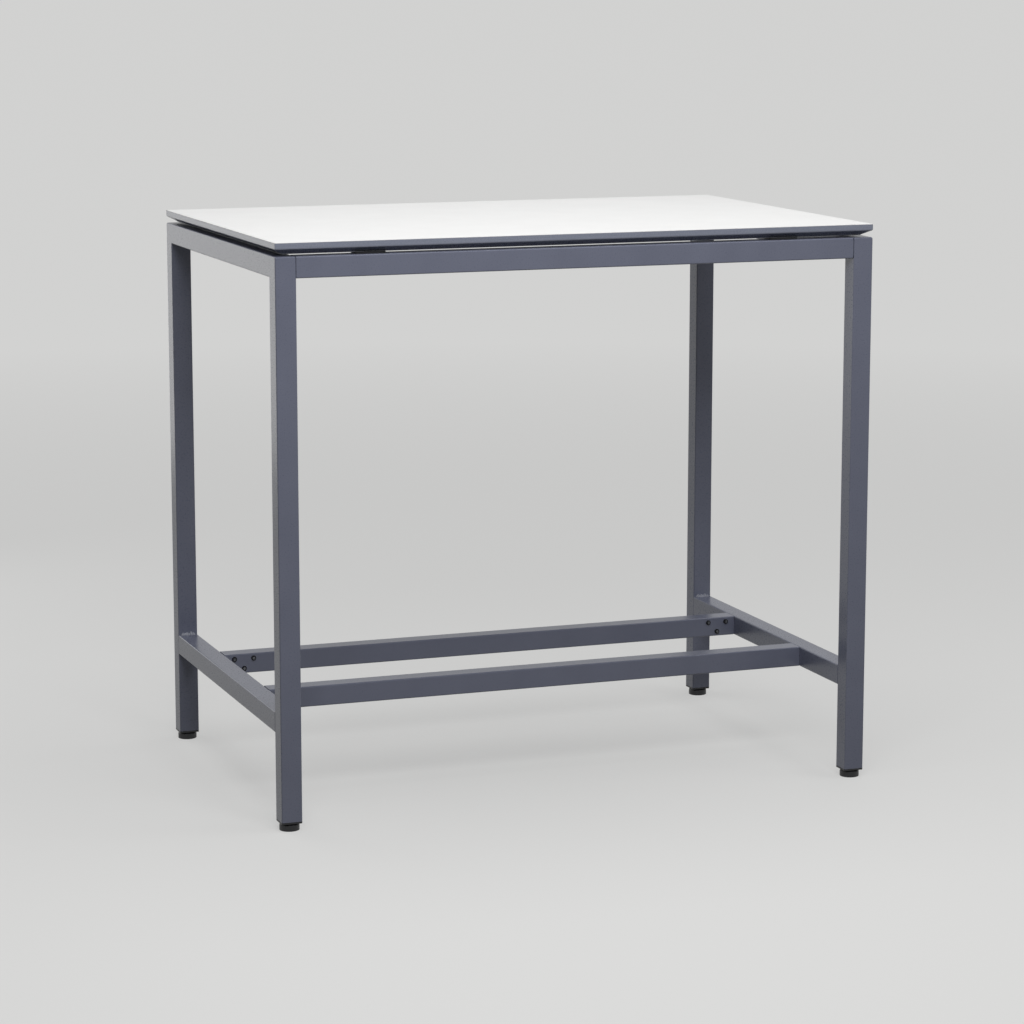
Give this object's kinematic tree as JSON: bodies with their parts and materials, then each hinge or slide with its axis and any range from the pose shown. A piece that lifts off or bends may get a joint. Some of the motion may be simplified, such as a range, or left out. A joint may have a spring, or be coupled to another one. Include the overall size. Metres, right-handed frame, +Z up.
{
  "type": "standing meeting table",
  "caption": "Bar-height rectangular meeting table: white laminate top with bevelled underside on a square-tube steel frame with a double footrest bar and screw-in levelling glides",
  "frame": {"origin": "on the floor under the middle of the top", "axes": "+X along the long side, +Y from front to rear, +Z up"},
  "size_m": [1.2, 0.8, 1.1],
  "materials": {
    "white_laminate": "satin high-pressure laminate",
    "edge_board": "grey lacquered board, bevelled below",
    "backing_sheet": "matt grey balancing laminate",
    "powder_coat": "blue-grey satin powder coat",
    "zinc_steel": "zinc plated",
    "black_steel": "black oxide",
    "black_plastic": "moulded black nylon"
  },
  "bodies": {
    "table": {"top_laminate": "white_laminate", "board_core": "edge_board", "backing_sheet": "backing_sheet", "leg_front_left": "powder_coat", "leg_rear_left": "powder_coat", "leg_front_right": "powder_coat", "leg_rear_right": "powder_coat", "end_rail_left": "powder_coat", "crossbar_left": "powder_coat", "end_rail_right": "powder_coat", "crossbar_right": "powder_coat", "long_rail_front": "powder_coat", "footrest_bar_front": "powder_coat", "long_rail_rear": "powder_coat", "footrest_bar_rear": "powder_coat", "rail_spigot_front_left": "powder_coat", "footrest_spigot_front_left": "powder_coat", "footrest_screw_front_left_1": "black_steel", "footrest_screw_front_left_2": "black_steel", "footrest_screw_front_left_3": "black_steel", "rail_spigot_rear_left": "powder_coat", "footrest_spigot_rear_left": "powder_coat", "footrest_screw_rear_left_1": "black_steel", "footrest_screw_rear_left_2": "black_steel", "footrest_screw_rear_left_3": "black_steel", "rail_spigot_front_right": "powder_coat", "footrest_spigot_front_right": "powder_coat", "footrest_screw_front_right_1": "black_steel", "footrest_screw_front_right_2": "black_steel", "footrest_screw_front_right_3": "black_steel", "rail_spigot_rear_right": "powder_coat", "footrest_spigot_rear_right": "powder_coat", "footrest_screw_rear_right_1": "black_steel", "footrest_screw_rear_right_2": "black_steel", "footrest_screw_rear_right_3": "black_steel", "spacer_front_left": "black_plastic", "top_screw_front_left": "black_steel", "spacer_rear_left": "black_plastic", "top_screw_rear_left": "black_steel", "spacer_front_right": "black_plastic", "top_screw_front_right": "black_steel", "spacer_rear_right": "black_plastic", "top_screw_rear_right": "black_steel", "leg_cap_front_left": "black_plastic", "foot_nut_front_left": "zinc_steel", "leg_cap_rear_left": "black_plastic", "foot_nut_rear_left": "zinc_steel", "leg_cap_front_right": "black_plastic", "foot_nut_front_right": "zinc_steel", "leg_cap_rear_right": "black_plastic", "foot_nut_rear_right": "zinc_steel"},
    "pad_front_left": {"glide_pad_front_left": "black_plastic"},
    "stud_front_left": {"glide_stud_front_left": "zinc_steel"},
    "pad_rear_left": {"glide_pad_rear_left": "black_plastic"},
    "stud_rear_left": {"glide_stud_rear_left": "zinc_steel"},
    "pad_front_right": {"glide_pad_front_right": "black_plastic"},
    "stud_front_right": {"glide_stud_front_right": "zinc_steel"},
    "pad_rear_right": {"glide_pad_rear_right": "black_plastic"},
    "stud_rear_right": {"glide_stud_rear_right": "zinc_steel"}
  },
  "joints": [
    {"name": "glide_travel_front_left", "type": "slide", "parent": "table", "child": "pad_front_left", "axis": [0, 0, 1], "range_m": [-0.01, 0]},
    {"name": "glide_screw_front_left", "type": "hinge", "parent": "pad_front_left", "child": "stud_front_left", "pos_m": [-0.58, -0.38, 0.03], "axis": [0, 0, 1], "range_deg": [-2880, 0]},
    {"name": "glide_travel_rear_left", "type": "slide", "parent": "table", "child": "pad_rear_left", "axis": [0, 0, 1], "range_m": [-0.01, 0]},
    {"name": "glide_screw_rear_left", "type": "hinge", "parent": "pad_rear_left", "child": "stud_rear_left", "pos_m": [-0.58, 0.38, 0.03], "axis": [0, 0, 1], "range_deg": [-2880, 0]},
    {"name": "glide_travel_front_right", "type": "slide", "parent": "table", "child": "pad_front_right", "axis": [0, 0, 1], "range_m": [-0.01, 0]},
    {"name": "glide_screw_front_right", "type": "hinge", "parent": "pad_front_right", "child": "stud_front_right", "pos_m": [0.58, -0.38, 0.03], "axis": [0, 0, 1], "range_deg": [-2880, 0]},
    {"name": "glide_travel_rear_right", "type": "slide", "parent": "table", "child": "pad_rear_right", "axis": [0, 0, 1], "range_m": [-0.01, 0]},
    {"name": "glide_screw_rear_right", "type": "hinge", "parent": "pad_rear_right", "child": "stud_rear_right", "pos_m": [0.58, 0.38, 0.03], "axis": [0, 0, 1], "range_deg": [-2880, 0]}
  ],
  "couplings": [
    {"joint": "glide_screw_front_left", "follows": "glide_travel_front_left", "rad_per_m": 5026.5},
    {"joint": "glide_screw_rear_left", "follows": "glide_travel_rear_left", "rad_per_m": 5026.5},
    {"joint": "glide_screw_front_right", "follows": "glide_travel_front_right", "rad_per_m": 5026.5},
    {"joint": "glide_screw_rear_right", "follows": "glide_travel_rear_right", "rad_per_m": 5026.5}
  ]
}
